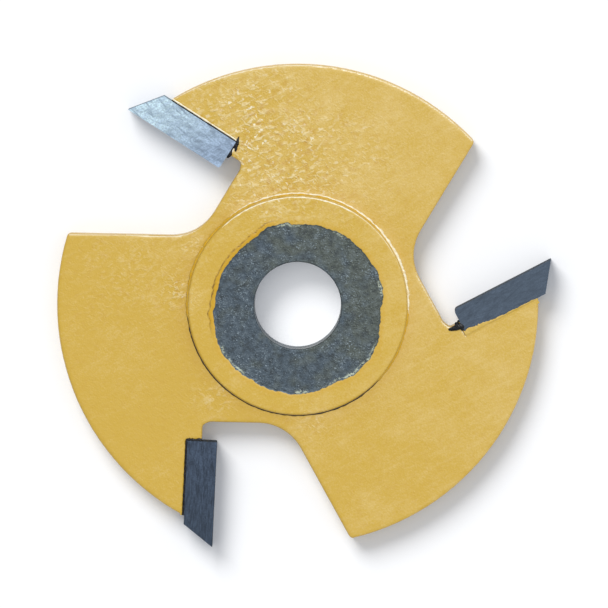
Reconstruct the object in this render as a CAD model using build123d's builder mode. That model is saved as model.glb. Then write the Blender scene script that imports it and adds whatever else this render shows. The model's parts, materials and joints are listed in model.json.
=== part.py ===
from build123d import *

import os
from math import cos, radians, sin, sqrt

# A three-tooth carving disc for an angle grinder, lying flat. Millimetres and degrees.
# The origin is on the bore axis at the back face, and +Z runs along the axis to the nut side.
# Seen from +Z the disc turns anticlockwise, so each tip leads the wing that carries it.

# Plate: one flat blank with a chip gullet and a tip seat in front of each wing.
TEETH = 3
DISC_R = 62.0                # outer edge of the wings
PLATE_T = 5.5
EDGE_R = 0.4                 # rounding of the outline's edges under the paint
RIM_CORNER_R = 1.0           # rounding where a gullet's trailing edge meets the rim

# Hub: a turned flange on the front with a spigot through the plate.
BORE_R = 22.23 / 2           # the 7/8 inch bore of 115 mm and 125 mm grinders
BORE_CHAMFER = 0.3           # on the front end only
SPIGOT_R = 22.0
FLANGE_BASE_R = 28.4
FLANGE_TOP_R = 28.1
FLANGE_T = 3.5
BRAZE_GROOVE = 1.2           # legs of the groove round the spigot at the back
HUB_TOP = PLATE_T + FLANGE_T

# Each tooth has its own frame: x runs outward along the tip, y towards the cutting side.
FIRST_TOOTH_ANGLE = 147.3
TIP_FOOT_X = (36.0, 35.1, 36.4)  # inner end of each tip, set by hand when it was brazed
TIP_BACK_Y = -26.7           # face brazed to the seat
TIP_RAKE_Y = (-18.8, -19.5, -19.1)  # cutting side of each tip
TIP_REACH_X = 63.6           # outer end, where it crosses the line y = TIP_REACH_Y
TIP_REACH_Y = -19.1
TIP_RELIEF_ANGLE = 36.4      # how far the outer end leans back from the cutting corner
TIP_PROUD = 0.5              # overhang past each face of the plate at the cutting side
TIP_SIDE_CLEARANCE = 2.0     # how fast that overhang narrows towards the back
TIP_CORNER_R = (0.5, 1.0, 0.3)   # ground corner at the foot of each tip

BRAZE_T = 0.2                # thickness of the braze film between tip and seat
BRAZE_INSET = 0.3            # how far the film stays under each face of the plate
BRAZE_END_X = 55.5           # where it stops, just inside the rim

# Land and step between the seat and the root of the gullet
LAND_Y = -23.0
LAND_END_X = 32.2
STEP_X = 31.3
STEP_Y = -21.1
POCKET_MOUTH_Y = -15.0       # past the tip, inside the gullet

# Gullet: a straight root, one round corner and a straight trailing edge
GULLET_TURN = 1.5            # its root is turned this much ahead of the tip
ROOT_X = 30.8
ROOT_START_Y = -21.0
ROOT_CORNER_R = 12.5
TRAILING_TURN = 30.0         # trailing edge, from the gullet's own x direction
TRAILING_OFFSET = 17.2       # distance of the trailing edge's line from the bore axis
CLEAR_R = 90.0               # past the rim, for cutting tools

# Flux left in the inner corner of each pocket, along the foot and along the land
FLUX_LEGS = ((1.4, 1.6), (2.2, 1.9), (0.8, 0.8))
FLUX_LOW_Z = 1.0
FLUX_PROUD = 0.2

SEAT_Y = TIP_BACK_Y - BRAZE_T

tooth_angles = [FIRST_TOOTH_ANGLE - index * 360 / TEETH for index in range(TEETH)]
tooth_planes = [Plane.XY.rotated((0, 0, angle)) for angle in tooth_angles]


def rim_corner(vertex):
    """True for a corner where a trailing edge meets the rim."""
    seat_distance = min(
        abs(plane.to_local_coords(vertex.center()).Y - SEAT_Y) for plane in tooth_planes
    )
    radius = sqrt(vertex.X ** 2 + vertex.Y ** 2)
    return abs(radius - DISC_R) < 0.01 and seat_distance > 0.01


def pocket_corners(foot_x):
    """Corners of one tooth's pocket: the tip seat, its land and its step, cut in one go."""
    seat_x = foot_x - BRAZE_T
    return (
        (CLEAR_R, SEAT_Y),
        (CLEAR_R, POCKET_MOUTH_Y),
        (STEP_X, POCKET_MOUTH_Y),
        (STEP_X, STEP_Y),
        (LAND_END_X, LAND_Y),
        (seat_x, LAND_Y),
        (seat_x, SEAT_Y),
    )


# The chip gullet in its own frame, with the round corner between root and trailing edge
corner_y = (ROOT_X * sin(radians(TRAILING_TURN)) - TRAILING_OFFSET) / cos(radians(TRAILING_TURN))
trailing_end = (
    ROOT_X + CLEAR_R * cos(radians(TRAILING_TURN)),
    corner_y + CLEAR_R * sin(radians(TRAILING_TURN)),
)
with BuildSketch() as chip_gullet:
    with BuildLine():
        Polyline(
            (ROOT_X, ROOT_START_Y),
            (ROOT_X, corner_y),
            trailing_end,
            (trailing_end[0], ROOT_START_Y),
            close=True,
        )
    make_face()
    root_corner = chip_gullet.vertices().sort_by_distance((ROOT_X, corner_y, 0))[0]
    fillet(root_corner, radius=ROOT_CORNER_R)

with BuildPart() as cutter_plate:
    with BuildSketch() as outline:
        Circle(DISC_R)
        for angle, foot_x in zip(tooth_angles, TIP_FOOT_X):
            with PolarLocations(0, 1, start_angle=angle):
                Polygon(*pocket_corners(foot_x), align=None, mode=Mode.SUBTRACT)
        with PolarLocations(0, TEETH, start_angle=FIRST_TOOTH_ANGLE + GULLET_TURN):
            add(chip_gullet.sketch, mode=Mode.SUBTRACT)
        fillet(outline.vertices().filter_by(rim_corner), radius=RIM_CORNER_R)
    extrude(amount=PLATE_T)
    for face in (cutter_plate.faces().sort_by(Axis.Z)[0], cutter_plate.faces().sort_by(Axis.Z)[-1]):
        fillet(face.outer_wire().edges(), radius=EDGE_R)
    with BuildSketch() as spigot_hole:
        Circle(SPIGOT_R)
    extrude(amount=PLATE_T, mode=Mode.SUBTRACT)
    back_rim = cutter_plate.edges().filter_by(GeomType.CIRCLE).filter_by(
        lambda edge: abs(edge.radius - SPIGOT_R) < 0.01
    ).sort_by(Axis.Z)[0]
    chamfer(back_rim, length=BRAZE_GROOVE)
cutter_plate.part.label = "cutter_plate"

# The hub is turned in one piece: spigot below, flange above with a slightly conical wall
with BuildPart() as hub_bushing:
    with BuildSketch(Plane.XZ):
        with BuildLine():
            Polyline(
                (BORE_R, 0),
                (SPIGOT_R, 0),
                (SPIGOT_R, PLATE_T),
                (FLANGE_BASE_R, PLATE_T),
                (FLANGE_TOP_R, HUB_TOP),
                (BORE_R + BORE_CHAMFER, HUB_TOP),
                (BORE_R, HUB_TOP - BORE_CHAMFER),
                close=True,
            )
        make_face()
    revolve(axis=Axis.Z)
    flange_rim = hub_bushing.edges().filter_by(GeomType.CIRCLE).filter_by(
        lambda edge: abs(edge.radius - FLANGE_TOP_R) < 0.01
    )
    fillet(flange_rim, radius=EDGE_R)
hub_bushing.part.label = "hub_bushing"

# Braze metal filling the groove between spigot and plate, ground flush with the back
with BuildPart() as hub_braze_ring:
    with BuildSketch(Plane.XZ):
        with BuildLine():
            Polyline(
                (SPIGOT_R, 0),
                (SPIGOT_R + BRAZE_GROOVE, 0),
                (SPIGOT_R, BRAZE_GROOVE),
                close=True,
            )
        make_face()
    revolve(axis=Axis.Z)
hub_braze_ring.part.label = "hub_braze_ring"

os.makedirs("parts", exist_ok=True)
for piece in (cutter_plate, hub_bushing, hub_braze_ring):
    export_step(piece.part, f"parts/{piece.part.label}.step")

for number, tooth in enumerate(tooth_planes, start=1):
    foot_x = TIP_FOOT_X[number - 1]
    seat_x = foot_x - BRAZE_T
    rake_y = TIP_RAKE_Y[number - 1]

    # Overhang past each face of the plate where the tip meets the seat
    back_proud = TIP_PROUD - (rake_y - TIP_BACK_Y) * sin(radians(TIP_SIDE_CLEARANCE))

    # Carbide tip: widest at the cutting side, its outer end leaning back behind the cutting corner
    foot_plane = Plane(
        origin=tooth.from_local_coords(Vector(foot_x, 0, 0)), x_dir=tooth.y_dir, z_dir=tooth.x_dir
    )
    relief_normal = Vector(cos(radians(TIP_RELIEF_ANGLE)), -sin(radians(TIP_RELIEF_ANGLE)), 0)
    relief_plane = Plane(
        origin=tooth.from_local_coords(Vector(TIP_REACH_X, TIP_REACH_Y, 0)),
        z_dir=tooth.x_dir * relief_normal.X + tooth.y_dir * relief_normal.Y,
    )
    with BuildPart() as carbide_tip:
        with BuildSketch(foot_plane):
            with BuildLine():
                Polyline(
                    (TIP_BACK_Y, -back_proud),
                    (rake_y, -TIP_PROUD),
                    (rake_y, PLATE_T + TIP_PROUD),
                    (TIP_BACK_Y, PLATE_T + back_proud),
                    close=True,
                )
            make_face()
        extrude(amount=CLEAR_R - foot_x)
        split(bisect_by=relief_plane, keep=Keep.BOTTOM)
        foot_corner = carbide_tip.edges().filter_by(Axis.Z).sort_by_distance(
            tooth.from_local_coords(Vector(foot_x, rake_y, PLATE_T / 2))
        )[0]
        fillet(foot_corner, radius=TIP_CORNER_R[number - 1])
    carbide_tip.part.label = f"carbide_tip_{number}"

    # Braze film: along the back of the tip and under its foot
    with BuildPart() as tip_braze:
        with BuildSketch(tooth.offset(BRAZE_INSET)):
            with BuildLine():
                Polyline(
                    (seat_x, SEAT_Y),
                    (BRAZE_END_X, SEAT_Y),
                    (BRAZE_END_X, TIP_BACK_Y),
                    (foot_x, TIP_BACK_Y),
                    (foot_x, LAND_Y),
                    (seat_x, LAND_Y),
                    close=True,
                )
            make_face()
        extrude(amount=PLATE_T - 2 * BRAZE_INSET)
    tip_braze.part.label = f"tip_braze_{number}"

    # Flux bead: a wedge in the corner between the tip's foot and the land
    foot_leg, land_leg = FLUX_LEGS[number - 1]
    with BuildPart() as flux_bead:
        with BuildSketch(tooth.offset(FLUX_LOW_Z)):
            with BuildLine():
                Polyline(
                    (foot_x, LAND_Y),
                    (foot_x, LAND_Y + foot_leg),
                    (foot_x - land_leg, LAND_Y),
                    close=True,
                )
            make_face()
        extrude(amount=PLATE_T + FLUX_PROUD - FLUX_LOW_Z)
    flux_bead.part.label = f"flux_bead_{number}"

    for piece in (carbide_tip, tip_braze, flux_bead):
        export_step(piece.part, f"parts/{piece.part.label}.step")
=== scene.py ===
"""Carving disc for an angle grinder: painted plate, hub, carbide tips and a studio floor."""

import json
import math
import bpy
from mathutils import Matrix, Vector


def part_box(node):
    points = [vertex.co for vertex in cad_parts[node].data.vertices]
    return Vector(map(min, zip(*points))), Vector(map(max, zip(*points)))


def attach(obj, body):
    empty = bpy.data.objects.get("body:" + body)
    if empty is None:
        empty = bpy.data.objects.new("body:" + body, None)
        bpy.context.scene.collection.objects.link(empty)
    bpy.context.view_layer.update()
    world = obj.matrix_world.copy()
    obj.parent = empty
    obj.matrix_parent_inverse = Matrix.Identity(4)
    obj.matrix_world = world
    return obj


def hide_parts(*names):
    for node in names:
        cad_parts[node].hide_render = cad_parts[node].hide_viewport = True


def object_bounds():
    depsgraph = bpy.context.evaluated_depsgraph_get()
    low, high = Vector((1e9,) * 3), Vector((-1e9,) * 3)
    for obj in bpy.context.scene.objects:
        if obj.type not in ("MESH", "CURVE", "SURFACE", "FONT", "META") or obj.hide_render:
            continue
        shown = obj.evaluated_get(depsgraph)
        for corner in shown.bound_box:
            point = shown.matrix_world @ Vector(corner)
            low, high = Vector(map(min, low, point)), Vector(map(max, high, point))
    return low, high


bl_info = {
    "name": "Carving Disc",
    "version": (1, 0, 0),
    "blender": (4, 5, 0),
    "location": "View3D > Sidebar > Carving Disc",
    "description": "Builds the finish of a three-tooth carving disc around its CAD frame",
    "category": "Object",
}

import bmesh
import bpy
import numpy as np
from bpy.props import FloatProperty, FloatVectorProperty, IntProperty, PointerProperty
from mathutils import Matrix, Vector, noise

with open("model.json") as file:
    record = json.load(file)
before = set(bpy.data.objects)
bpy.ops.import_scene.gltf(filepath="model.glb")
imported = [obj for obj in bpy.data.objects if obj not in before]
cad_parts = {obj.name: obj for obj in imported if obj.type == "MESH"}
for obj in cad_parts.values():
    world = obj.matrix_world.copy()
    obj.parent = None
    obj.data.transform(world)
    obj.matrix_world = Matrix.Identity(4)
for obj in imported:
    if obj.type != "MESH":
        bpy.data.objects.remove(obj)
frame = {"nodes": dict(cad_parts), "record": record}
cad_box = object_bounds()

MM = 0.001
WELD_DISTANCE = 0.002 * MM

# Sizes that the CAD frame states
MOUNTS = {mount["name"]: mount for mount in frame["record"]["mounts"]}
BORE_R = MOUNTS["arbor_bore"]["dims"]["r_mm"] * MM
PLATE_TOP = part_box("cutter_plate")[1].z
HUB_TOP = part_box("hub_bushing")[1].z
FLANGE_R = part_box("hub_bushing")[1].x
SPIGOT_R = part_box("hub_braze_ring")[1].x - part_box("hub_braze_ring")[1].z

# Each tooth has its own frame: x runs outward along the tip, y towards the cutting side
TEETH = 3
TOOTH_ANGLES = [math.radians(147.3 - index * 360 / TEETH) for index in range(TEETH)]
TIP_FOOT_X = (36.0 * MM, 35.1 * MM, 36.4 * MM)
TIP_BACK_Y = -26.7 * MM
LAND_Y = -23.0 * MM
SEAM_END_X = 55.7 * MM

# The second tip's back edge is smeared with enamel: where along the tip, how far over the plate,
# and how far over the tip at each x in mm
SMEARED_TOOTH = 1
SMEAR_START_X = 34.8 * MM
SMEAR_END_X = 55.6 * MM
SMEAR_FOOT = 1.7 * MM
SMEAR_COVER = ((34.8, 37, 40, 43, 46.4, 52, 55.6), (1.5, 1.15, 0.9, 0.5, 0.25, 0.2, 0.06))
SMEAR_COLUMNS = 96
SMEAR_ROWS = 14


def tooth_point(index, x, y, z):
    """A point of one tooth's frame, in the disc's frame."""
    turn = TOOTH_ANGLES[index]
    return Vector((
        x * math.cos(turn) - y * math.sin(turn),
        x * math.sin(turn) + y * math.cos(turn),
        z,
    ))


# ---------------------------------------------------------------------------
# Settings


def color_setting(name, description, default):
    return FloatVectorProperty(name=name, description=description, default=default,
                               subtype="COLOR", size=3, min=0, max=1)


def length_setting(name, description, default):
    return FloatProperty(name=name, description=description, default=default, unit="LENGTH",
                         precision=5)


def turn_setting(name, description, degrees):
    return FloatProperty(name=name, description=description, default=math.radians(degrees),
                         unit="ROTATION")


class EnamelSettings(bpy.types.PropertyGroup):
    """The gold enamel sprayed over the plate and the hub."""

    color: color_setting("Enamel", "Main colour of the enamel", (0.605, 0.390, 0.040))
    # Pale enamel serves both the random pale patches and the painted sheen towards the upper right
    pale_color: color_setting(
        "Pale enamel", "Colour of the dusty, overspray patches", (0.70, 0.50, 0.15))
    # Painted highlight: the tops of the lumps and strokes are painted in this paler colour
    lump_highlight_color: color_setting(
        "Lump tops", "Colour on top of the lumps, where the enamel is thin", (0.86, 0.73, 0.41))
    # Painted highlight colour: the glints, the lit upper edges and the pale beads
    highlight_color: color_setting(
        "Thinnest enamel", "Colour on the sharpest lumps and edges", (0.93, 0.86, 0.64))
    deep_color: color_setting(
        "Deep enamel", "Colour where the enamel lies thick", (0.52, 0.27, 0.022))
    gathered_color: color_setting(
        "Gathered enamel", "Colour where the enamel gathered in a corner", (0.66, 0.38, 0.010))
    grain: length_setting("Mesh grain", "Edge length of the plate's surface mesh", 0.45 * MM)
    wave_size: length_setting("Wave size", "Distance between the broad swells", 9.0 * MM)
    wave_height: length_setting("Wave height", "Height of the broad swells", 0.05 * MM)
    peel_size: length_setting("Orange peel size", "Distance between the small lumps", 2.1 * MM)
    peel_height: length_setting("Orange peel height", "Height of the small lumps", 0.022 * MM)
    grit_size: length_setting("Grit size", "Distance between grains under the enamel", 1.35 * MM)
    grit_height: length_setting("Grit height", "Height of grains under the enamel", 0.15 * MM)
    film: length_setting("Film thickness", "Thickness of the enamel at its edge", 0.16 * MM)


class HubSettings(bpy.types.PropertyGroup):
    """The turned hub and its bare ring."""

    steps: IntProperty(name="Steps round", description="Faces round the hub", default=512, min=32)
    ring_radius: length_setting(
        "Bare ring radius", "Radius of the masked, unpainted ring", 21.9 * MM)
    ring_shift: FloatVectorProperty(
        name="Bare ring shift", description="How far the mask lay off the bore's axis",
        unit="LENGTH", size=2, precision=5, default=(0.2 * MM, -0.8 * MM),
    )
    steel_color: color_setting(
        "Bare steel", "Colour of the oiled bare steel", (0.062, 0.088, 0.112))
    stain_color: color_setting(
        "Stained steel", "Colour of the green stains on the bare steel", (0.082, 0.099, 0.087))
    ridge_color: color_setting(
        "Paint ridge", "Colour of the thick paint along the mask's edge", (0.60, 0.335, 0.0))


class TipSettings(bpy.types.PropertyGroup):
    """The carbide tips, their seams and the flux beside them."""

    # The first tip is painted much brighter than the others, paler towards its outer end and on
    # its sides, as a painted reflection of a bright light
    reflecting_tip_color: color_setting(
        "Fresh carbide", "Colour of the freshly ground first tip", (0.285, 0.375, 0.50))
    reflecting_end_color: color_setting(
        "Pale outer end", "Colour towards the first tip's outer end", (0.66, 0.86, 0.91))
    dark_end_color: color_setting(
        "Dark outer end", "Colour towards the third tip's outer end", (0.036, 0.052, 0.075))
    slate_color: color_setting(
        "Slate carbide", "Colour of the second tip", (0.084, 0.114, 0.156))
    smoked_color: color_setting(
        "Smoked carbide", "Colour of the third tip", (0.062, 0.088, 0.134))
    # The tips' sides are painted darker than their ground faces: partly the sintered sides' own
    # colour, partly painted shade
    side_color: color_setting(
        "Sintered sides", "Colour of the tips' unground sides", (0.030, 0.042, 0.058))
    reflecting_side_color: color_setting(
        "Fresh sides", "Colour of the first tip's ground sides", (0.19, 0.25, 0.31))
    edge_break: length_setting("Edge break", "Width of the honed edges", 0.09 * MM)
    seam_width: FloatVectorProperty(
        name="Seam width", description="Width of the dark seam beside each tip", unit="LENGTH",
        size=3, precision=5, default=(0.36 * MM, 0.30 * MM, 0.66 * MM),
    )
    flux_color: color_setting("Flux", "Colour of the glassy flux", (0.002, 0.002, 0.002))


class StudioSettings(bpy.types.PropertyGroup):
    """Floor, lights and camera."""

    camera_distance: length_setting("Camera distance", "From the lens to the disc", 2.5)
    tilt: turn_setting("Tilt", "How far the camera leans towards +Y", 4.0)
    lean: turn_setting("Lean", "How far the camera leans towards +X", 0.5)
    view_width: length_setting(
        "View width", "Width of the floor that the view takes in", 156.3 * MM)
    floor_size: length_setting("Floor size", "Side of the square floor", 12.0)


class CarvingDiscSettings(bpy.types.PropertyGroup):
    """Everything that a user would change."""

    enamel: PointerProperty(type=EnamelSettings)
    hub: PointerProperty(type=HubSettings)
    tips: PointerProperty(type=TipSettings)
    studio: PointerProperty(type=StudioSettings)


# ---------------------------------------------------------------------------
# Node helpers


class Finish:
    """A material under construction, with short names for the nodes that these finishes use."""

    def __init__(self, name):
        self.material = bpy.data.materials.new(name)
        self.material.use_nodes = True
        self.tree = self.material.node_tree
        self.shader = self.tree.nodes["Principled BSDF"]
        self.place = self.node("ShaderNodeTexCoord").outputs["Object"]

    def node(self, kind, **values):
        """A node whose properties and sockets are set by name."""
        made = self.tree.nodes.new(kind)
        for key, value in values.items():
            if hasattr(made, key):
                setattr(made, key, value)
            else:
                made.inputs[key.replace("_", " ")].default_value = value
        return made

    def link(self, source, target):
        self.tree.links.new(source, target)

    def axes(self, vector):
        """A vector's three parts, by name."""
        made = self.node("ShaderNodeSeparateXYZ")
        self.link(vector, made.inputs["Vector"])
        return made.outputs

    def stretched(self, turn, scale):
        """Object coordinates turned about Z and stretched, for a pattern with a direction."""
        mapping = self.node("ShaderNodeMapping", vector_type="TEXTURE")
        mapping.inputs["Rotation"].default_value = (0, 0, turn)
        mapping.inputs["Scale"].default_value = scale
        self.link(self.place, mapping.inputs["Vector"])
        return mapping.outputs["Vector"]

    def noise(self, size, detail=2.0, roughness=0.5, place=None, distortion=0.0):
        """Cloudy noise with features of the given size, in metres, as a value about 0.5."""
        made = self.node("ShaderNodeTexNoise", Scale=1 / size, Detail=detail,
                         Roughness=roughness, Distortion=distortion)
        self.link(place or self.place, made.inputs["Vector"])
        return made.outputs["Fac"]

    def cells(self, size):
        """Distance to the nearest of many scattered points."""
        made = self.node("ShaderNodeTexVoronoi", Scale=1 / size)
        self.link(self.place, made.inputs["Vector"])
        return made.outputs["Distance"]

    def attribute(self, name):
        return self.node("ShaderNodeAttribute", attribute_name=name).outputs["Fac"]

    def span(self, value, low, high, to_low=0.0, to_high=1.0):
        """A value's range moved to another range, and held there."""
        made = self.node("ShaderNodeMapRange", clamp=True, From_Min=low, From_Max=high,
                         To_Min=to_low, To_Max=to_high)
        self.link(value, made.inputs["Value"])
        return made.outputs["Result"]

    def clip(self, value):
        """A value held between 0 and 1."""
        return self.span(value, 0.0, 1.0)

    def math(self, operation, first, second):
        made = self.node("ShaderNodeMath", operation=operation)
        for socket, value in zip(made.inputs, (first, second)):
            if isinstance(value, (int, float)):
                socket.default_value = value
            else:
                self.link(value, socket)
        return made.outputs["Value"]

    def times(self, first, second):
        return self.math("MULTIPLY", first, second)

    def add(self, *values):
        """The sum of two or more values."""
        total = values[0]
        for value in values[1:]:
            total = self.math("ADD", total, value)
        return total

    def mix(self, factor, first, second):
        """A colour between two colours."""
        made = self.node("ShaderNodeMix", data_type="RGBA")
        self.link(factor, made.inputs["Factor"])
        for socket, value in ((made.inputs[6], first), (made.inputs[7], second)):
            if isinstance(value, bpy.types.NodeSocket):
                self.link(value, socket)
            else:
                socket.default_value = (*value, 1.0)
        return made.outputs[2]

    def bump(self, height, distance, normal=None):
        made = self.node("ShaderNodeBump", Strength=1.0, Distance=distance)
        self.link(height, made.inputs["Height"])
        if normal:
            self.link(normal, made.inputs["Normal"])
        return made.outputs["Normal"]

    def done(self, **values):
        """The material, once the shader's sockets have the links and constants named here."""
        for key, value in values.items():
            socket = self.shader.inputs[key.replace("_", " ")]
            if isinstance(value, bpy.types.NodeSocket):
                self.link(value, socket)
            else:
                socket.default_value = value
        return self.material


# ---------------------------------------------------------------------------
# Finishes

# Which way the enamel's strokes and lumps lean
STROKE_TURN = math.radians(24)

# Tones of the bare steel, of the painted shade in the paint's crease beside it, and of the small
# dark materials, among them the painted shadow under the flange
STEEL_DARK = (0.028, 0.036, 0.040)
STEEL_LIGHT = (0.20, 0.245, 0.275)
STEEL_SPECK = (0.30, 0.37, 0.42)
STEEL_PIT = (0.018, 0.022, 0.026)
STEEL_CHIPPED = (0.50, 0.56, 0.44)
CREASE_SHADE = (0.15, 0.062, 0.0)
BRAZE_BURNT = (0.10, 0.075, 0.035)
BRAZE_BRIGHT = (0.42, 0.31, 0.15)
FLUX_BURNT = (0.020, 0.021, 0.026)
# Painted shadow in the crevice under the flange: black, with brown patches
CREVICE_SHADOW_BLACK = (0.012, 0.010, 0.008)
CREVICE_SHADOW_BROWN = (0.10, 0.062, 0.02)
FLOOR_LOW = (0.79, 0.79, 0.79)
FLOOR_HIGH = (0.80, 0.80, 0.80)


def enamel_color(finish, enamel):
    """Gold with pale patches, faint slanting streaks and deeper hollows, with painted sheen and
    highlights.
    """
    grit = finish.attribute("grit")
    axes = finish.axes(finish.place)
    # A painted sheen: the enamel is painted paler towards the upper right, where it reflects the
    # light; the cloudy patches, streaks and specks are the enamel's own tone
    across = finish.add(finish.times(axes["X"], 0.83), finish.times(axes["Y"], 0.55))
    painted_sheen = finish.span(across, -40 * MM, 42 * MM, -0.10, 0.40)
    patches = finish.span(finish.noise(10 * MM, 4.0, 0.6), 0.40, 0.68, -0.20, 0.26)
    streaks = finish.stretched(math.radians(28), (6 * MM, 1.5 * MM, 6 * MM))
    streaks = finish.span(finish.noise(1.0, 3.0, 0.6, streaks), 0.48, 0.74, 0.0, 0.35)
    specks = finish.span(finish.noise(0.55 * MM, 3.0, 0.7), 0.40, 0.72, -0.15, 0.42)
    pale = finish.add(painted_sheen, patches, streaks, specks)
    color = finish.mix(finish.clip(pale), enamel.color, enamel.pale_color)

    # Painted highlights: the raised strokes and the tops of the lumps are painted paler, where
    # they would catch the light
    marks = finish.times(enamel_marks(finish), finish.span(grit, 0.03, 0.9, 0.02, 0.66))
    lumps = finish.add(finish.times(finish.attribute("lump"), 0.30), marks)
    color = finish.mix(finish.clip(lumps), color, enamel.lump_highlight_color)
    # Painted glints, and a painted highlight along the rounded upper edges that face the light
    glints = finish.span(finish.noise(1.25 * MM, 1.0), 0.67, 0.73)
    glints = finish.times(glints, finish.span(grit, 0.1, 0.9, 0.0, 0.9))
    edge = finish.span(finish.attribute("edge"), 0.25, 0.85, 0.0, 0.8)
    color = finish.mix(finish.math("MAXIMUM", glints, edge), color, enamel.highlight_color)
    hollows = finish.span(finish.noise(1.7 * MM, 3.0, 0.6), 0.54, 0.66, 0.0, 0.65)
    hollows = finish.times(hollows, finish.span(grit, 0, 1, 0.15, 1.0))
    color = finish.mix(finish.clip(hollows), color, enamel.deep_color)
    # The steep wall just under the upper edge is painted in the deep enamel colour
    return finish.mix(finish.attribute("brink"), color, enamel.deep_color)


def enamel_marks(finish):
    """Short raised strokes that slant one way, with a few across them, from 0 to 1."""
    strokes = finish.stretched(STROKE_TURN, (1.9 * MM, 0.95 * MM, 1.4 * MM))
    strokes = finish.span(finish.noise(1.0, 1.5, 0.5, strokes), 0.53, 0.66)
    ticks = finish.stretched(math.radians(-35), (1.4 * MM, 0.75 * MM, 1.2 * MM))
    ticks = finish.span(finish.noise(1.0, 1.0, 0.5, ticks), 0.59, 0.70)
    return finish.math("MAXIMUM", strokes, ticks)


def enamel_normal(finish, cover=None):
    """Fine relief that is too small for the mesh: orange peel, grains and, on enamel, strokes."""
    grit = finish.attribute("grit")
    peel = finish.bump(finish.noise(1.0 * MM, 3.0, 0.6), 0.06 * MM)
    grains = finish.span(finish.cells(0.8 * MM), 0.0, 0.36, 1.0, 0.0)
    rough = finish.add(finish.noise(0.45 * MM, 2.0, 0.65), grains)
    rough = finish.times(rough, finish.add(grit, 0.15))
    rough = finish.bump(rough, 0.09 * MM, normal=peel)
    marks = finish.times(enamel_marks(finish), finish.span(grit, 0.03, 1, 0.10, 1.0))
    if cover:
        marks = finish.times(marks, cover)
    return finish.bump(marks, 0.12 * MM, normal=rough)


def glossy(finish, color, roughness):
    """Enamel of a given colour, with its fine relief and gloss."""
    return finish.done(Base_Color=color, Roughness=roughness, Normal=enamel_normal(finish),
                       Specular_IOR_Level=0.5, Coat_Weight=0.25, Coat_Roughness=0.16)


def gold_enamel(settings):
    """Thick sprayed gold enamel."""
    finish = Finish("sprayed_gold")
    roughness = finish.span(finish.noise(3 * MM, 3.0), 0.3, 0.7, 0.30, 0.44)
    return glossy(finish, enamel_color(finish, settings.enamel), roughness)


def highlight_gold(settings):
    """Enamel of the pale beads, painted pale cream as the highlight of an edge that faces the
    light.
    """
    finish = Finish("highlight_gold")
    enamel = settings.enamel
    tone = finish.span(finish.noise(0.9 * MM, 2.0), 0.34, 0.50, 0.45, 1.0)
    roughness = finish.span(finish.noise(3 * MM), 0.3, 0.7, 0.26, 0.36)
    return glossy(finish, finish.mix(tone, enamel.pale_color, enamel.highlight_color), roughness)


def thick_gold(settings):
    """Enamel gathered in a corner, deeper in colour than the rest."""
    finish = Finish("thick_gold")
    enamel = settings.enamel
    tone = finish.span(finish.noise(0.9 * MM, 2.0), 0.38, 0.62)
    return finish.done(
        Base_Color=finish.mix(tone, enamel.gathered_color, enamel.color),
        Roughness=finish.span(finish.noise(3 * MM), 0.3, 0.7, 0.40, 0.52),
        Specular_IOR_Level=0.3,
    )


def hub_finish(settings):
    """Gold enamel that gives way to bare, oiled steel where the mask lay."""
    finish = Finish("enamel_and_bare_steel")
    enamel, hub = settings.enamel, settings.hub
    painted = finish.span(finish.attribute("enamel"), 0.42, 0.58)
    worn = finish.attribute("worn")

    axes = finish.axes(finish.place)
    slant = finish.add(axes["X"], finish.times(axes["Y"], 0.7))
    green = finish.add(finish.noise(4.5 * MM, 3.0), finish.times(slant, 7.0))
    green = finish.span(green, 0.38, 0.64)
    steel = finish.mix(green, hub.steel_color, hub.stain_color)
    mottle = finish.span(finish.noise(1.5 * MM, 5.0, 0.72), 0.36, 0.66, -0.75, 0.75)
    shade = finish.span(mottle, -0.75, 0.0, 0.70, 0.0)
    light = finish.span(mottle, 0.0, 0.75, 0.0, 0.27)
    steel = finish.mix(shade, steel, STEEL_DARK)
    steel = finish.mix(light, steel, STEEL_LIGHT)
    region = finish.span(finish.noise(3.6 * MM, 2.0), 0.42, 0.62, 0.10, 0.80)
    specks = finish.span(finish.noise(0.34 * MM, 2.0, 0.6), 0.58, 0.68)
    steel = finish.mix(finish.times(specks, region), steel, STEEL_SPECK)
    pits = finish.span(finish.noise(0.48 * MM, 2.0, 0.6), 0.38, 0.28, 0.0, 0.70)
    steel = finish.mix(pits, steel, STEEL_PIT)
    chips = finish.span(finish.noise(0.5 * MM, 2.0), 0.44, 0.54)
    steel = finish.mix(finish.times(worn, chips), steel, STEEL_CHIPPED)

    gold = finish.mix(finish.attribute("ridge"), enamel_color(finish, enamel), hub.ridge_color)
    # The groove beside the ridge is painted dark brown as shade
    gold = finish.mix(finish.attribute("crease"), gold, CREASE_SHADE)
    return finish.done(
        Base_Color=finish.mix(painted, steel, gold),
        Roughness=finish.span(finish.noise(3 * MM, 3.0), 0.3, 0.7, 0.34, 0.50),
        Metallic=finish.span(painted, 0.0, 1.0, 0.45, 0.0),
        Normal=enamel_normal(finish, painted),
        Specular_IOR_Level=0.5,
    )


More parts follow.
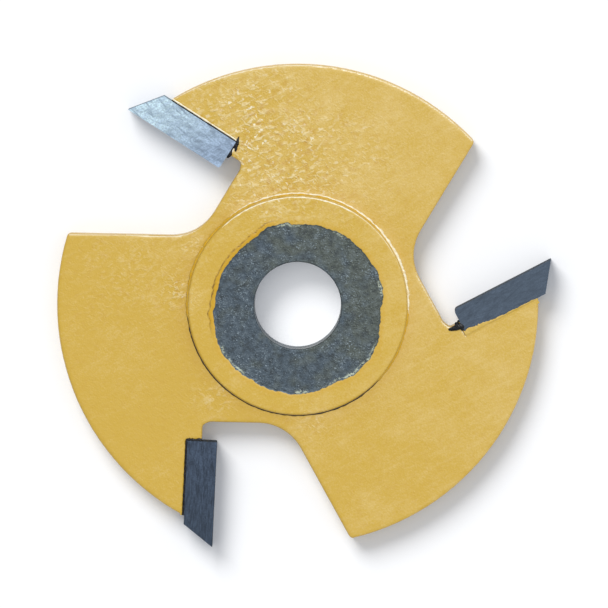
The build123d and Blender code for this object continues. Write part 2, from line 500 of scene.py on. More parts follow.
def carbide(name, color, outer_color, side_color, depth, angle, line_turn):
    """Ground sintered carbide with grinding lines, smeared patches, a toned outer end and darker
    sides; the first tip's tones are a painted reflection.
    """
    finish = Finish(name)
    lines = finish.stretched(angle + line_turn, (3.0 * MM, 0.36 * MM, 3 * MM))
    lines = finish.span(finish.noise(1.0, 3.0, 0.65, lines), 0.42, 0.60)
    smears = finish.stretched(angle + math.radians(18), (4.2 * MM, 1.5 * MM, 2 * MM))
    smears = finish.span(finish.noise(1.0, 4.0, 0.65, smears, 0.8), 0.38, 0.66)
    smudges = finish.stretched(angle + math.radians(-12), (5.0 * MM, 0.8 * MM, 3 * MM))
    smudges = finish.span(finish.noise(1.0, 3.0, 0.55, smudges, 0.2), 0.52, 0.70, 0.0, 0.70)
    grain = finish.span(finish.noise(0.42 * MM, 3.0, 0.7), 0.42, 0.62, 0.0, 0.5)
    dark = tuple((1 - depth) * value for value in color)
    light = tuple((1 + 0.7 * depth) * value for value in color)
    length = finish.node("ShaderNodeVectorMath", operation="LENGTH")
    finish.link(finish.place, length.inputs[0])
    outer = finish.span(length.outputs["Value"], 46 * MM, 62 * MM)
    base = finish.mix(smears, dark, light)
    outer = finish.times(outer, finish.span(smears, 0, 1, 0.55, 1.0))
    base = finish.mix(outer, base, outer_color)
    base = finish.mix(finish.times(lines, 0.55), base, light)
    base = finish.mix(smudges, base, dark)
    base = finish.mix(grain, base, dark)
    # The sides are painted darker and duller than the ground faces: partly the sintered finish,
    # partly painted shade that keeps the lit side walls dark
    upright = finish.axes(finish.node("ShaderNodeNewGeometry").outputs["Normal"])["Z"]
    side = finish.span(finish.math("ABSOLUTE", upright, 0.0), 0.5, 0.95, 1.0, 0.0)
    face_gloss = finish.span(smears, 0.0, 1.0, 0.42, 0.30)
    return finish.done(
        Base_Color=finish.mix(side, base, side_color),
        Roughness=finish.math("MAXIMUM", face_gloss, finish.times(side, 0.8)),
        Metallic=finish.span(side, 0.0, 1.0, 0.55, 0.1),
        Normal=finish.bump(lines, 0.005 * MM),
        Specular_IOR_Level=0.3,
    )


def silver_braze(settings):
    """Silver braze, darkened by heat."""
    finish = Finish("silver_braze")
    tone = finish.span(finish.noise(0.8 * MM, 3.0), 0.35, 0.65)
    return finish.done(
        Base_Color=finish.mix(tone, BRAZE_BURNT, BRAZE_BRIGHT),
        Roughness=finish.span(tone, 0, 1, 0.55, 0.35),
        Normal=finish.bump(finish.noise(0.4 * MM), 0.02 * MM),
        Metallic=0.8,
    )


def black_flux(settings):
    """Hardened flux: black glass with dull, burnt patches."""
    finish = Finish("black_flux")
    burnt = finish.span(finish.noise(0.5 * MM, 3.0, 0.6), 0.45, 0.7)
    return finish.done(
        Base_Color=finish.mix(burnt, settings.tips.flux_color, FLUX_BURNT),
        Roughness=finish.span(burnt, 0, 1, 0.22, 0.6),
        Normal=finish.bump(finish.noise(0.35 * MM), 0.03 * MM),
        Specular_IOR_Level=0.3,
    )


def crevice_shadow(settings):
    """Painted shadow in the corner under the flange: black with brownish patches."""
    finish = Finish("crevice_shadow")
    tone = finish.span(finish.noise(1.1 * MM, 3.0), 0.35, 0.7)
    return finish.done(
        Base_Color=finish.mix(tone, CREVICE_SHADOW_BLACK, CREVICE_SHADOW_BROWN),
        Roughness=finish.span(tone, 0, 1, 0.5, 0.8),
        Normal=finish.bump(finish.noise(0.4 * MM), 0.03 * MM),
    )


def studio_white():
    """Matt white light table with the faintest tooth, which gives off a little light."""
    finish = Finish("studio_white")
    return finish.done(
        Base_Color=finish.mix(finish.noise(4 * MM, 3.0), FLOOR_LOW, FLOOR_HIGH),
        Roughness=0.95,
        Specular_IOR_Level=0.0,
        Emission_Color=FLOOR_GLOW,
        Emission_Strength=0.10,
    )


def shared(name, maker, *values):
    """A finish that several pieces share, made once."""
    return bpy.data.materials.get(name) or maker(*values)


# ---------------------------------------------------------------------------
# Mesh helpers


def add_object(name, data):
    """An object at the origin of the scene."""
    made = bpy.data.objects.new(name, data)
    bpy.context.scene.collection.objects.link(made)
    return made


def new_piece(name, mesh, material, smooth=True):
    """A piece at the origin that rides on the disc and takes the given finish."""
    piece = add_object(name, mesh)
    mesh.materials.clear()
    mesh.materials.append(material)
    mesh.polygons.foreach_set("use_smooth", [smooth] * len(mesh.polygons))
    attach(piece, "root")
    return piece


def cad_copy(node, name):
    """A welded copy of a CAD node's mesh, with nothing but its points and faces."""
    welded = bmesh.new()
    welded.from_mesh(frame["nodes"][node].data)
    bmesh.ops.remove_doubles(welded, verts=welded.verts, dist=WELD_DISTANCE)
    welded.verts.index_update()
    points = [vertex.co.copy() for vertex in welded.verts]
    faces = [[vertex.index for vertex in face.verts] for face in welded.faces]
    welded.free()
    mesh = bpy.data.meshes.new(name)
    mesh.from_pydata(points, [], faces)
    return mesh


def add_modifier(piece, kind, **values):
    modifier = piece.modifiers.new(kind.title(), kind)
    for key, value in values.items():
        setattr(modifier, key, value)
    return modifier


def roughen(piece, name, size, height, detail):
    """Live cloudy lumps over a piece, of the given size and height."""
    clouds = bpy.data.textures.new(name, "CLOUDS")
    clouds.noise_scale = size
    clouds.noise_depth = detail
    add_modifier(piece, "DISPLACE", texture=clouds, texture_coords="LOCAL", strength=height,
                 mid_level=0.5)


def apply_stack(piece):
    """Replaces a piece's mesh by what its modifiers make of it."""
    bpy.context.view_layer.update()
    evaluated = piece.evaluated_get(bpy.context.evaluated_depsgraph_get())
    made = bpy.data.meshes.new_from_object(evaluated)
    cage = piece.data
    made.name = cage.name + "_made"
    piece.modifiers.clear()
    piece.data = made
    bpy.data.meshes.remove(cage)


def mesh_points(mesh):
    """A mesh's points and outward normals, as arrays."""
    points = np.empty(len(mesh.vertices) * 3, dtype=np.float32)
    normals = np.empty(len(mesh.vertices) * 3, dtype=np.float32)
    mesh.vertices.foreach_get("co", points)
    mesh.vertex_normals.foreach_get("vector", normals)
    return points.reshape(-1, 3).astype(float), normals.reshape(-1, 3).astype(float)


def swell(points, size, seed):
    """Smooth noise from -1 to 1 at each point, with features of the given size."""
    shift = Vector((seed * 3.7, seed * 5.3, seed * 7.1))
    return np.array([noise.noise(Vector(point / size) + shift) for point in points])


def reshape(mesh, points, **values):
    """Moves a mesh's points, and keeps named values for each of them, for the finish to read."""
    mesh.vertices.foreach_set("co", points.astype(np.float32).ravel())
    for name, amounts in values.items():
        attribute = mesh.attributes.new(name, "FLOAT", "POINT")
        attribute.data.foreach_set("value", np.asarray(amounts, dtype=np.float32))
    mesh.polygons.foreach_set("use_smooth", [True] * len(mesh.polygons))
    mesh.update()


def waver(*place):
    """Smooth noise from -1 to 1 at one place, in units of its own size."""
    return noise.noise(Vector(place))


def smooth_step(value, low, high):
    share = np.clip((value - low) / (high - low), 0, 1)
    return share * share * (3 - 2 * share)


def around(angle, middle, half):
    """1 in the middle of an arc, falling to 0 at its ends."""
    away = np.abs((np.degrees(angle) - middle + 180) % 360 - 180)
    return 1 - smooth_step(away, 0.7 * half, half)


# ---------------------------------------------------------------------------
# Enamel relief

# Where blasting grit lies under the enamel: x, y and radius in mm, and how much of it
GRIT_PATCHES = (
    (-15, 46, 16, 0.80),
    (-4, 33, 12, 0.60),
    (-31, 3, 4, 0.7),
    (-27, 14, 4, 0.5),
    (-22, -24, 5, 0.35),
    (12, 38, 14, 0.35),
    (-45, 8, 12, 0.22),
    (4, -30, 5, 0.3),
)
GRIT_EVERYWHERE = 0.05

# The low ridge of enamel on the plate round the boss: middle and half width in degrees
BEAD_R = 28.8 * MM
BEAD_ARC = (70, 100)
BEAD_WIDTH = 0.38 * MM
BEAD_HEIGHT = 0.10 * MM

# How far the enamel sinks as it dries, which also keeps its swells inside the CAD frame
SETTLED = 0.02 * MM


def grit_amount(points):
    """How much grit lies under the enamel on the front face, from 0 to 1."""
    amount = np.full(len(points), GRIT_EVERYWHERE)
    for x, y, radius, share in GRIT_PATCHES:
        distance = np.hypot(points[:, 0] / MM - x, points[:, 1] / MM - y)
        amount += share * np.exp(-((distance / radius) ** 2))
    amount *= 0.75 + 0.5 * swell(points, 7 * MM, 3)
    return np.clip(amount, 0, 1) * smooth_step(points[:, 2], 0, PLATE_TOP)


def grit_lumps(points, enamel):
    """Long low lumps, all leaning the same way, from 0 in the hollows to 1 on top."""
    cosine, sine = math.cos(STROKE_TURN), math.sin(STROKE_TURN)
    along = points[:, 0] * cosine + points[:, 1] * sine
    beside = points[:, 1] * cosine - points[:, 0] * sine
    stretched = np.stack([along / 1.9, beside, points[:, 2]], axis=1)
    return np.clip(swell(stretched, enamel.grit_size, 4) * 2.2 - 0.25, 0, 1)


def edge_highlight(points, normals):
    """Where a rounded upper edge faces the light from the upper right, for a painted highlight,
    from 0 to 1.
    """
    slope = 1 - np.abs(normals[:, 2])
    rounded = smooth_step(slope, 0.02, 0.10) * (1 - smooth_step(slope, 0.30, 0.60))
    level = np.hypot(normals[:, 0], normals[:, 1]) + 1e-6
    facing = smooth_step((0.30 * normals[:, 0] + 0.95 * normals[:, 1]) / level, 0.35, 0.85)
    return rounded * facing * np.clip(0.9 + 0.5 * swell(points, 2.6 * MM, 9), 0, 1)


def brink(points, normals):
    """The steep wall just under the upper edge, all round, which the finish paints in the deep
    enamel colour, from 0 to 1.
    """
    slope = 1 - np.abs(normals[:, 2])
    near_top = smooth_step(points[:, 2], PLATE_TOP - 1.2 * MM, PLATE_TOP - 0.7 * MM)
    return 0.75 * smooth_step(slope, 0.35, 0.75) * near_top


def roll_on(piece, enamel):
    """Live swells and orange peel over a finished enamel mesh."""
    roughen(piece, f"{piece.name}_swell", enamel.wave_size, enamel.wave_height, 1)
    roughen(piece, f"{piece.name}_peel", enamel.peel_size, enamel.peel_height, 1)


# ---------------------------------------------------------------------------
# Pieces


class CARVINGDISC_OT_plate(bpy.types.Operator):
    """Make the painted plate, with the enamel's lumps as real relief"""

    bl_idname = "carving_disc.plate"
    bl_label = "Painted plate"

    def execute(self, context):
        settings = context.scene.carving_disc
        enamel = settings.enamel
        material = shared("sprayed_gold", gold_enamel, settings)
        plate = new_piece("painted_plate", cad_copy("cutter_plate", "painted_plate"), material)
        add_modifier(plate, "REMESH", mode="VOXEL", voxel_size=enamel.grain)
        add_modifier(plate, "SMOOTH", factor=0.5, iterations=2)
        apply_stack(plate)
        points, normals = mesh_points(plate.data)
        grit = grit_amount(points)
        lumps = grit * grit_lumps(points, enamel)
        radius = np.hypot(points[:, 0], points[:, 1])
        turn = np.arctan2(points[:, 1], points[:, 0])
        bead = np.exp(-(((radius - BEAD_R) / BEAD_WIDTH) ** 2)) * around(turn, *BEAD_ARC)
        bead *= (points[:, 2] > PLATE_TOP - 0.1 * MM) * (0.8 + 0.5 * swell(points, 1.5 * MM, 5))
        relief = enamel.grit_height * lumps + BEAD_HEIGHT * bead - SETTLED
        points += normals * relief[:, None]
        # edge and lump drive the finish's painted highlights; brink marks where it paints the deep
        # enamel colour
        reshape(plate.data, points, grit=grit, lump=lumps, edge=edge_highlight(points, normals),
                brink=brink(points, normals))
        roll_on(plate, enamel)
        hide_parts("cutter_plate")
        return {"FINISHED"}


# The turned hub below its enamel: its section's mesh, its top, and its rounded and cut corners
SECTION_GRAIN = 0.24 * MM
TURNED_TOP = HUB_TOP - 0.17 * MM
RIM_ROUND = 0.35 * MM
CREVICE = 0.28 * MM
FLANGE_TOP_R = FLANGE_R - 0.3 * MM
BORE_BREAK = 0.3 * MM


def turned_profile():
    """Radius and height round the hub's section, with points closer together where it shows."""
    corners = [
        (BORE_R, TURNED_TOP - BORE_BREAK),
        (BORE_R + BORE_BREAK, TURNED_TOP),
        (FLANGE_TOP_R - RIM_ROUND, TURNED_TOP),
        (FLANGE_TOP_R - 0.3 * RIM_ROUND, TURNED_TOP - 0.3 * RIM_ROUND),
        (FLANGE_TOP_R, TURNED_TOP - RIM_ROUND),
        (FLANGE_R, PLATE_TOP + CREVICE),
        (FLANGE_R - CREVICE, PLATE_TOP),
        (SPIGOT_R, PLATE_TOP),
        (SPIGOT_R, 0),
        (BORE_R, 0),
        (BORE_R, TURNED_TOP - BORE_BREAK),
    ]
    section = []
    for (r0, z0), (r1, z1) in zip(corners, corners[1:]):
        step = SECTION_GRAIN if min(z0, z1) > PLATE_TOP else 4 * SECTION_GRAIN
        count = max(1, round(math.hypot(r1 - r0, z1 - z0) / step))
        section += [(r0 + (r1 - r0) * i / count, z0 + (z1 - z0) * i / count)
                    for i in range(count)]
    return section


# Where the mask's edge wore the paint to bright metal: middle and half width in degrees
WORN_ARCS = ((-47, 26), (-142, 14), (-88, 5), (97, 10), (62, 4), (14, 6))

# Where the paint ran up into a thick ridge, and where the mask's edge bulged: middle, half
# width in degrees, and how far in mm
RIDGE_ARC = (150, 50)
EDGE_BULGES = ((158, 44, -0.50), (207, 30, 0.6), (322, 20, 0.5), (104, 10, 0.5), (38, 34, 0.35),
               (352, 12, -0.5), (297, 14, -0.4))


class CARVINGDISC_OT_hub(bpy.types.Operator):
    """Make the turned hub, with its enamel ending in a ragged edge round the bare ring"""

    bl_idname = "carving_disc.hub"
    bl_label = "Hub"

    def execute(self, context):
        settings = context.scene.carving_disc
        enamel, hub = settings.enamel, settings.hub
        section = turned_profile()
        edges = [(i, (i + 1) % len(section)) for i in range(len(section))]
        mesh = bpy.data.meshes.new("hub_section")
        mesh.from_pydata([(r, 0, z) for r, z in section], edges, [])
        material = shared("enamel_and_bare_steel", hub_finish, settings)
        piece = new_piece("painted_hub", mesh, material)
        add_modifier(piece, "SCREW", angle=math.radians(360), steps=hub.steps,
                     render_steps=hub.steps, use_merge_vertices=True,
                     merge_threshold=0.01 * MM)
        apply_stack(piece)
        self.raise_enamel(piece.data, enamel, hub)
        roll_on(piece, enamel)
        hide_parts("hub_bushing")
        return {"FINISHED"}

    def raise_enamel(self, mesh, enamel, hub):
        """Stores where the enamel lies, and raises it over the bare steel."""
        points, normals = mesh_points(mesh)
        x = points[:, 0] - hub.ring_shift[0]
        y = points[:, 1] - hub.ring_shift[1]
        angle = np.arctan2(y, x)
        ring = np.hypot(x, y)
        flat = points * (1, 1, 0)
        ragged = 0.34 * MM * swell(flat, 3.4 * MM, 6) + 0.26 * MM * swell(flat, 1.1 * MM, 7)
        ragged += 0.16 * MM * swell(flat, 0.65 * MM, 12)
        bulge = sum(reach * around(angle, middle, half) for middle, half, reach in EDGE_BULGES)
        past_edge = ring - hub.ring_radius - ragged - bulge * MM
        top = points[:, 2] > TURNED_TOP - 0.02 * MM
        outside = np.hypot(points[:, 0], points[:, 1]) > SPIGOT_R + 0.2 * MM
        painted = smooth_step(past_edge, -0.22 * MM, 0.22 * MM)
        painted = np.where(top, painted, outside)
        ridge = np.exp(-(((past_edge - 0.50 * MM) / (0.60 * MM)) ** 2))
        wander = 0.20 * MM * swell(flat, 2.0 * MM, 10) + 0.15 * MM * around(angle, 162, 26)
        groove = np.exp(-(((past_edge - 1.0 * MM - wander) / (0.13 * MM)) ** 2))
        groove *= np.clip(0.8 + 0.9 * swell(flat, 1.2 * MM, 11), 0, 1)
        ridge_arc = around(angle, *RIDGE_ARC)
        grit = grit_amount(points)
        lumps = grit * grit_lumps(points, enamel) * painted
        height = enamel.grit_height * lumps
        height += enamel.film * ridge_arc * (0.85 * ridge - 0.5 * groove)
        height -= enamel.film * (1 - painted)
        worn = sum(around(angle, *arc) for arc in WORN_ARCS)
        band = np.exp(-(((past_edge + 0.45 * MM) / (0.24 * MM)) ** 2))
        worn = np.clip(worn * band * (0.9 + 0.9 * swell(flat, 2.2 * MM, 8)), 0, 1) * top
        height += 0.05 * MM * worn
        points += normals * (height * (points[:, 2] > PLATE_TOP / 2))[:, None]
        reshape(
            # edge carries the painted highlight on the flange's lit top edge
            mesh, points, enamel=painted, edge=edge_highlight(points, normals) * painted, worn=worn,
            # crease carries the painted shade in the groove beside the ridge
            ridge=ridge * (0.35 + 0.65 * ridge_arc) * top, crease=groove * ridge_arc * top,
            grit=grit * painted + 0.5 * (1 - painted), lump=lumps,
        )


class CARVINGDISC_OT_tips(bpy.types.Operator):
    """Make the carbide tips, with honed edges"""

    bl_idname = "carving_disc.tips"
    bl_label = "Carbide tips"

    def execute(self, context):
        tips = context.scene.carving_disc.tips
        # One carbide in three painted tones: the first tip's brightness, pale outer end and light
        # sides are a painted reflection; the third is darker towards its outer end
        tones = (
            ("reflecting_carbide", tips.reflecting_tip_color, tips.reflecting_end_color, tips.reflecting_side_color,
             0.45, 62),
            ("slate_carbide", tips.slate_color, tips.slate_color, tips.side_color, 0.34, 8),
            ("smoked_carbide", tips.smoked_color, tips.dark_end_color, tips.side_color, 0.56, 0),
        )
        for index, (tone, color, outer, sides, depth, line_turn) in enumerate(tones):
            node = f"carbide_tip_{index + 1}"
            material = carbide(tone, color, outer, sides, depth, TOOTH_ANGLES[index],
                               math.radians(line_turn))
            piece = new_piece(f"ground_tip_{index + 1}", cad_copy(node, node), material,
                              smooth=False)
            add_modifier(piece, "BEVEL", width=tips.edge_break, segments=2,
                         limit_method="ANGLE", angle_limit=math.radians(25))
            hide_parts(node)
        return {"FINISHED"}


class CARVINGDISC_OT_seams(bpy.types.Operator):
    """Make the braze: the CAD films and ring get their finish, and a dark seam follows each tip"""

    bl_idname = "carving_disc.seams"
    bl_label = "Brazed seams"

    def execute(self, context):
        settings = context.scene.carving_disc
        braze = shared("silver_braze", silver_braze, settings)
        flux = shared("black_flux", black_flux, settings)
        names = ["hub_braze_ring"] + [f"tip_braze_{index + 1}" for index in range(TEETH)]
        for name in names:
            node = frame["nodes"][name].data
            node.materials.clear()
            node.materials.append(braze)
        for index in range(TEETH):
            self.seam(index, settings.tips.seam_width[index], flux)
        return {"FINISHED"}

    def seam(self, index, width, material):
        """A thin dark line in the groove beside the tip, unless enamel has closed it."""
        middle = width / 2 - 0.1 * MM
        sides = [("back", 0.12 * MM)]
        if index != SMEARED_TOOTH:
            sides.append(("front", PLATE_TOP))
        for side, depth in sides:
            pocket_bead(f"seam_{side}_{index + 1}", index, TIP_BACK_Y - middle,
                        TIP_FOOT_X[index] - middle, depth, width / 2, 0.35, material, "flux")


def bead(name, places, shares, radius, material, slot):
    """A round bead along a line of points, with its own share of the radius at each point."""
    line = bpy.data.curves.new(name, "CURVE")
    line.dimensions = "3D"
    line.bevel_depth = radius
    line.bevel_resolution = 2
    line.use_fill_caps = True
    spline = line.splines.new("POLY")
    spline.points.add(len(places) - 1)
    for point, place, share in zip(spline.points, places, shares):
        point.co = (*place, 1)
        point.radius = share
    piece = add_object(name, line)
    line.materials.append(material)
    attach(piece, "root")


def pocket_bead(name, index, back_y, foot_x, depth, radius, unevenness, material, slot):
    """An uneven bead round a tip's pocket: along its back, round the corner, along its foot."""
    corners = [(SEAM_END_X, back_y), (foot_x, back_y), (foot_x, LAND_Y - 0.1 * MM)]
    path = []
    for (x0, y0), (x1, y1) in zip(corners, corners[1:]):
        count = round(math.hypot(x1 - x0, y1 - y0) / (0.5 * MM))
        path += [tooth_point(index, x0 + (x1 - x0) * i / count, y0 + (y1 - y0) * i / count, depth)
                 for i in range(count)]
    path.append(tooth_point(index, *corners[-1], depth))
    shares = [1 + unevenness * noise.noise(place / (1.1 * MM)) for place in path]
    bead(name, path, shares, radius, material, slot)


class CARVINGDISC_OT_enamel_edges(bpy.types.Operator):
    """Make the enamel's edges: a bead along each pocket, and the smear over the second tip"""

    bl_idname = "carving_disc.enamel_edges"
    bl_label = "Enamel edges"

    def execute(self, context):
        settings = context.scene.carving_disc
        gold = shared("sprayed_gold", gold_enamel, settings)
        pale = shared("highlight_gold", highlight_gold, settings)
        # The first tip's pocket bead is painted pale as a highlight; the other two are gold
        beads = ((pale, 0.26 * MM, 0.10 * MM), (gold, 0.24 * MM, -0.02 * MM),
                 (gold, 0.24 * MM, -0.02 * MM))
        for index, (material, radius, rise) in enumerate(beads):
            gap = settings.tips.seam_width[index] + 0.16 * MM
            if index == SMEARED_TOOTH:
                gap = 0.12 * MM
            back_y = TIP_BACK_Y - gap
            foot_x = TIP_FOOT_X[index] - gap
            pocket_bead(f"enamel_bead_{index + 1}", index, back_y, foot_x,
                        PLATE_TOP - radius + rise, radius, 0.45, material, "gold_enamel")
        self.smear(gold, settings.enamel)
        return {"FINISHED"}

    def smear(self, material, enamel):
        """Enamel that has run over the back edge of the second tip, to a ragged line."""
        points = []
        for i in range(SMEAR_COLUMNS + 1):
            x = SMEAR_START_X + (SMEAR_END_X - SMEAR_START_X) * i / SMEAR_COLUMNS
            cover = float(np.interp(x / MM, *SMEAR_COVER)) * MM
            ragged = 0.45 * waver(x / (0.9 * MM), 3.1, 0.7)
            ragged += 0.42 * waver(x / (0.35 * MM), 8.3, 2.9)
            cover = max(cover + ragged * (0.30 * MM + 0.80 * cover), 0.06 * MM)
            foot = SMEAR_FOOT * (1 + 0.4 * waver(x / (1.6 * MM), 5.1, 1.7))
            for j in range(SMEAR_ROWS + 1):
                share = j / SMEAR_ROWS
                y = TIP_BACK_Y - foot + (foot + cover) * share
                over_tip = smooth_step(np.float64(y), TIP_BACK_Y - 0.30 * MM, TIP_BACK_Y)
                on_plate = smooth_step(np.float64(y), TIP_BACK_Y - 0.8 * foot,
                                       TIP_BACK_Y - 0.10 * MM)
                z = PLATE_TOP + (0.08 * float(on_plate) - 0.06) * MM
                z += 0.29 * MM * float(over_tip)
                z += 0.035 * (y - TIP_BACK_Y) * (y > TIP_BACK_Y)
                z += 0.04 * MM * noise.noise(Vector((x, y, 0)) / (0.8 * MM))
                z -= 0.07 * MM * (share == 1) + 0.12 * MM * (share == 0)
                points.append(tooth_point(SMEARED_TOOTH, x, y, z))
        faces = []
        column = SMEAR_ROWS + 1
        for i in range(SMEAR_COLUMNS):
            for corner in range(i * column, i * column + SMEAR_ROWS):
                faces.append((corner, corner + column, corner + column + 1, corner + 1))
        mesh = bpy.data.meshes.new("enamel_smear")
        mesh.from_pydata(points, [], faces)
        piece = new_piece("enamel_smear", mesh, material)
        add_modifier(piece, "SOLIDIFY", thickness=0.2 * MM, offset=-1)
        add_modifier(piece, "SUBSURF", levels=1, render_levels=1)
        roll_on(piece, enamel)


# Where a dark bead in the corner under the flange is painted shadow, on the side away from the
# light: middle and half width in degrees
CREVICE_ARC = (-106, 76)
CREVICE_R = FLANGE_R + 0.05 * MM
CREVICE_WIDTH = 0.52 * MM

# Beads of enamel along the boss, the pale ones painted as highlights on the side that faces the
# light: name, radius, height, first and last degree, and width
BOSS_BEADS = (
    ("boss_bead_low", FLANGE_R + 0.30 * MM, PLATE_TOP + 0.12 * MM, 44, 130, 0.50 * MM),
    ("boss_bead_high", FLANGE_TOP_R - 0.24 * MM, TURNED_TOP - 0.17 * MM, 48, 140, 0.38 * MM),
    ("boss_bead_right", FLANGE_R + 0.08 * MM, PLATE_TOP + 0.22 * MM, -8, 64, 0.90 * MM),
)
BOSS_FILL = (
    ("boss_fill_top", FLANGE_R - 0.12 * MM, PLATE_TOP + 0.50 * MM, 30, 134, 0.62 * MM),
    ("boss_fill_left", FLANGE_R - 0.06 * MM, PLATE_TOP + 0.42 * MM, 106, 192, 0.72 * MM),
    ("boss_fill_right", FLANGE_R - 0.02 * MM, PLATE_TOP + 0.25 * MM, -46, 6, 0.56 * MM),
)


def ring_bead(name, radius, height, start, end, width, unevenness, material, slot):
    """An uneven bead on an arc about the bore's axis, which narrows to nothing at its ends."""
    count = round(math.radians(end - start) * radius / (0.35 * MM))
    middle, half = (start + end) / 2, (end - start) / 2
    path, shares = [], []
    for i in range(count + 1):
        turn = math.radians(start + (end - start) * i / count)
        stray = radius + 0.25 * width * waver(turn * 22, 6.3, radius / MM)
        path.append((stray * math.cos(turn), stray * math.sin(turn), height))
        uneven = waver(turn * 24, 1.3, radius / MM)
        uneven += 0.8 * waver(turn * 60, 4.3, radius / MM)
        share = float(around(np.float64(turn), middle, half)) ** 0.6
        shares.append(share * max(1 + unevenness * uneven, 0.3) + 0.02)
    bead(name, path, shares, width / 2, material, slot)


class CARVINGDISC_OT_boss_edge(bpy.types.Operator):
    """Make the corner under the flange: a painted shadow line below, and beads of enamel above,
    the pale ones painted as highlights
    """

    bl_idname = "carving_disc.boss_edge"
    bl_label = "Edge of the boss"

    def execute(self, context):
        settings = context.scene.carving_disc
        middle, half = CREVICE_ARC
        # A dark bead as painted shadow where the flange meets the plate, away from the light
        crevice_shade = shared("crevice_shadow", crevice_shadow, settings)
        ring_bead("flange_crevice", CREVICE_R, PLATE_TOP + 0.02 * MM, middle - half, middle + half,
                  CREVICE_WIDTH, 0.3, crevice_shade, "flux")
        # Pale beads painted as highlights where the boss's edges face the light
        pale = shared("highlight_gold", highlight_gold, settings)
        for bead in BOSS_BEADS:
            ring_bead(*bead, 0.5, pale, "gold_enamel")
        deep = shared("thick_gold", thick_gold, settings)
        for bead in BOSS_FILL:
            ring_bead(*bead, 0.35, deep, "gold_enamel")
        return {"FINISHED"}


# Lumps of each flux bead: distance past the tip's foot, y in the tooth's frame, height above
# the plate's top and radius, all in mm
FLUX_LUMPS = (
    (
        (0.1, -28.2, 0.02, 0.20), (0.0, -27.8, 0.05, 0.28), (-0.1, -27.4, 0.06, 0.38),
        (-0.3, -27.0, 0.06, 0.48), (-0.5, -26.5, 0.06, 0.52), (-0.6, -25.9, 0.06, 0.52),
        (-0.9, -25.3, 0.05, 0.44), (-1.1, -24.8, 0.03, 0.30), (-0.2, -26.5, 0.05, 0.40),
        (-0.2, -25.9, 0.05, 0.42), (-0.1, -25.2, 0.05, 0.36), (-0.1, -24.5, 0.05, 0.32),
        (-0.3, -23.9, 0.03, 0.42), (-0.4, -23.4, 0.0, 0.52), (-0.4, -22.9, -0.1, 0.48),
        (-0.3, -22.4, -0.3, 0.40),
    ),
    (
        (-3.2, -23.6, 0.0, 0.42), (-2.8, -23.7, 0.05, 0.54), (-2.3, -23.8, 0.05, 0.66),
        (-1.8, -23.9, 0.05, 0.78), (-1.3, -23.95, 0.06, 0.86), (-0.8, -24.0, 0.08, 0.90),
        (-0.4, -24.1, 0.08, 0.90), (0.0, -24.4, 0.08, 0.72), (-0.2, -24.9, 0.06, 0.56),
        (0.1, -25.2, 0.05, 0.40), (-1.0, -23.2, -0.4, 0.60), (-0.2, -23.0, -0.5, 0.60),
    ),
    (
        (-0.4, -24.1, 0.10, 0.36), (-0.5, -23.7, 0.12, 0.38), (-0.4, -23.2, 0.08, 0.36),
        (-0.3, -26.7, 0.12, 0.36), (-0.5, -26.2, 0.10, 0.30), (-0.6, -25.5, 0.05, 0.20),
    ),
)
FLUX_FLATNESS = 0.6
FLUX_GRAIN = 0.11 * MM


class CARVINGDISC_OT_flux(bpy.types.Operator):
    """Make the lumps of hardened flux at the foot of each tip"""

    bl_idname = "carving_disc.flux"
    bl_label = "Flux beads"

    def execute(self, context):
        settings = context.scene.carving_disc
        material = shared("black_flux", black_flux, settings)
        for index, lumps in enumerate(FLUX_LUMPS):
            blob = bmesh.new()
            for past, y, height, radius in lumps:
                place = tooth_point(index, TIP_FOOT_X[index] + past * MM, y * MM,
                                    PLATE_TOP + height * MM)
                flat = Matrix.Diagonal((1, 1, FLUX_FLATNESS, 1))
                bmesh.ops.create_icosphere(blob, subdivisions=2, radius=radius * MM,
                                           matrix=Matrix.Translation(place) @ flat)
            mesh = bpy.data.meshes.new(f"flux_{index + 1}")
            blob.to_mesh(mesh)
            blob.free()
            piece = new_piece(f"flux_lump_{index + 1}", mesh, material)
            add_modifier(piece, "REMESH", mode="VOXEL", voxel_size=FLUX_GRAIN)
            add_modifier(piece, "SMOOTH", factor=0.5, iterations=3)
            roughen(piece, f"flux_grain_{index + 1}", 0.5 * MM, 0.12 * MM, 2)
            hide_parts(f"flux_bead_{index + 1}")
        return {"FINISHED"}


# The light that comes from everywhere, and what the floor gives off
AIR_COLOR = (0.585, 0.592, 0.605, 1)
FLOOR_GLOW = (0.9, 1, 1.2, 1)

# The small spot over the bore: its power, the radius it lights, its shift and its height
BORE_SPOT_POWER = 13.0
BORE_SPOT_R = 22 * MM
BORE_SPOT_SHIFT = 5 * MM
BORE_SPOT_Z = 1.0

# Where the camera aims: a little off the bore's axis, on the hub's top
CAMERA_AIM = Vector((1.67 * MM, 0.46 * MM, HUB_TOP))
SENSOR_WIDTH = 36.0


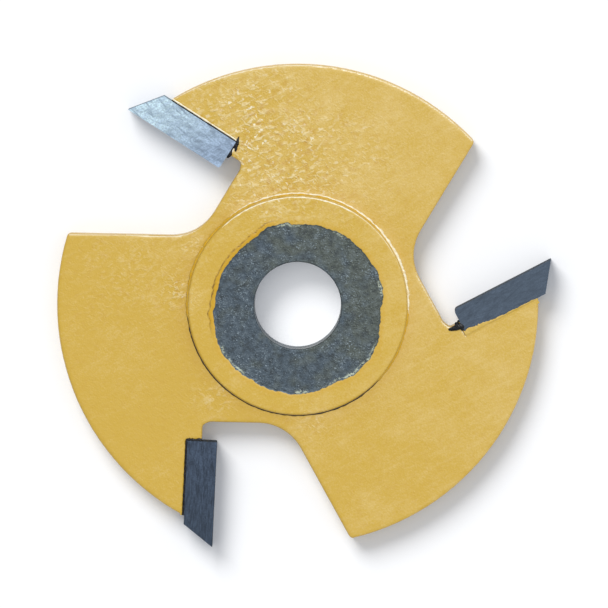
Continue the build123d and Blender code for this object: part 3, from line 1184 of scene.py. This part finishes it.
class CARVINGDISC_OT_studio(bpy.types.Operator):
    """Make the floor, the lights and the camera"""

    bl_idname = "carving_disc.studio"
    bl_label = "Studio"

    def execute(self, context):
        studio = context.scene.carving_disc.studio
        floor = self.floor(studio)
        self.lights(floor, context.scene.objects["painted_hub"])
        self.camera(context.scene, studio)
        context.scene.view_settings.view_transform = "Standard"
        return {"FINISHED"}

    def floor(self, studio):
        half = studio.floor_size / 2
        level = cad_box[0].z
        mesh = bpy.data.meshes.new("studio_floor")
        mesh.from_pydata([(-half, -half, level), (half, -half, level), (half, half, level),
                          (-half, half, level)], [], [(0, 1, 2, 3)])
        mesh.materials.append(shared("studio_white", studio_white))
        floor = add_object("studio_floor", mesh)
        return floor

    def lights(self, floor, hub):
        """Even air, a softbox and a spot for the floor alone, and two softboxes for the disc."""
        world = bpy.data.worlds.new("studio_air")
        world.use_nodes = True
        background = world.node_tree.nodes["Background"]
        background.inputs["Color"].default_value = AIR_COLOR
        background.inputs["Strength"].default_value = 1.0
        bpy.context.scene.world = world

        only_floor = self.group("lit_floor", floor, "INCLUDE")
        all_but_floor = self.group("lit_disc", floor, "EXCLUDE")
        self.sun("floor_softbox", azimuth=119, height=39, spread=33, power=2.98, group=only_floor)
        self.bore_spot(only_floor)
        above = self.sun("top_softbox", azimuth=60, height=66, spread=50, power=0.8,
                         group=all_but_floor)
        beside = self.sun("edge_strip", azimuth=72, height=56, spread=9, power=0.9,
                          group=all_but_floor)
        all_but_hub = self.group("filled_in", hub, "EXCLUDE")
        for light in (above, beside):
            light.light_linking.blocker_collection = all_but_hub

    def bore_spot(self, group):
        """A small spot straight down the bore, as a reflector above it would throw."""
        lamp = bpy.data.lights.new("bore_spot", "SPOT")
        lamp.energy = BORE_SPOT_POWER
        lamp.shadow_soft_size = 5 * MM
        lamp.spot_size = 2 * math.atan(BORE_SPOT_R / BORE_SPOT_Z)
        lamp.spot_blend = 1.0
        light = add_object("bore_spot", lamp)
        light.location = (BORE_SPOT_SHIFT, -BORE_SPOT_SHIFT, BORE_SPOT_Z)
        light.light_linking.receiver_collection = group

    def group(self, name, thing, state):
        """A light's list of what it falls on, or of what casts its shadows."""
        group = bpy.data.collections.new(name)
        group.objects.link(thing)
        group.collection_objects[0].light_linking.link_state = state
        return group

    def sun(self, name, azimuth, height, spread, power, group):
        """A far, even softbox. Azimuth is measured from +X towards +Y, height from the floor."""
        lamp = bpy.data.lights.new(name, "SUN")
        lamp.energy = power
        lamp.angle = math.radians(spread)
        light = add_object(name, lamp)
        turn, rise = math.radians(azimuth), math.radians(height)
        towards = Vector((math.cos(turn) * math.cos(rise), math.sin(turn) * math.cos(rise),
                          math.sin(rise)))
        light.rotation_mode = "QUATERNION"
        light.rotation_quaternion = towards.to_track_quat("Z", "Y")
        light.light_linking.receiver_collection = group
        return light

    def camera(self, scene, studio):
        """A long lens nearly straight above the disc, with +Y up in the picture."""
        data = bpy.data.cameras.new("camera")
        data.sensor_width = SENSOR_WIDTH
        data.lens = SENSOR_WIDTH * studio.camera_distance / studio.view_width
        data.clip_start = 0.1
        data.clip_end = 100.0
        camera = add_object("camera", data)
        back = Vector((math.tan(studio.lean), math.tan(studio.tilt), 1)).normalized()
        side = Vector((0, 1, 0)).cross(back).normalized()
        rise = back.cross(side)
        turned = Matrix((side, rise, back)).transposed().to_4x4()
        place = CAMERA_AIM + back * studio.camera_distance
        camera.matrix_world = Matrix.Translation(place) @ turned
        scene.camera = camera


# ---------------------------------------------------------------------------
# Panel, registration and the build

OPERATORS = (
    CARVINGDISC_OT_plate,
    CARVINGDISC_OT_hub,
    CARVINGDISC_OT_tips,
    CARVINGDISC_OT_seams,
    CARVINGDISC_OT_enamel_edges,
    CARVINGDISC_OT_boss_edge,
    CARVINGDISC_OT_flux,
    CARVINGDISC_OT_studio,
)


class CARVINGDISC_PT_sidebar(bpy.types.Panel):
    """Lists the pieces and their settings"""

    bl_idname = "CARVINGDISC_PT_sidebar"
    bl_label = "Carving Disc"
    bl_space_type = "VIEW_3D"
    bl_region_type = "UI"
    bl_category = "Carving Disc"

    def draw(self, context):
        settings = context.scene.carving_disc
        for operator in OPERATORS:
            self.layout.operator(operator.bl_idname)
        for part in ("enamel", "hub", "tips", "studio"):
            box = self.layout.box()
            box.label(text=part.title())
            group = getattr(settings, part)
            for name in group.__annotations__:
                box.prop(group, name)


CLASSES = (
    EnamelSettings,
    HubSettings,
    TipSettings,
    StudioSettings,
    CarvingDiscSettings,
    *OPERATORS,
    CARVINGDISC_PT_sidebar,
)


def register():
    for made in CLASSES:
        bpy.utils.register_class(made)
    bpy.types.Scene.carving_disc = PointerProperty(type=CarvingDiscSettings)


def unregister():
    del bpy.types.Scene.carving_disc
    for made in reversed(CLASSES):
        bpy.utils.unregister_class(made)


def main():
    """Builds every piece and the studio."""
    register()
    for operator in OPERATORS:
        group, name = operator.bl_idname.split(".")
        getattr(getattr(bpy.ops, group), name)()


if __name__ == "__main__":
    main()
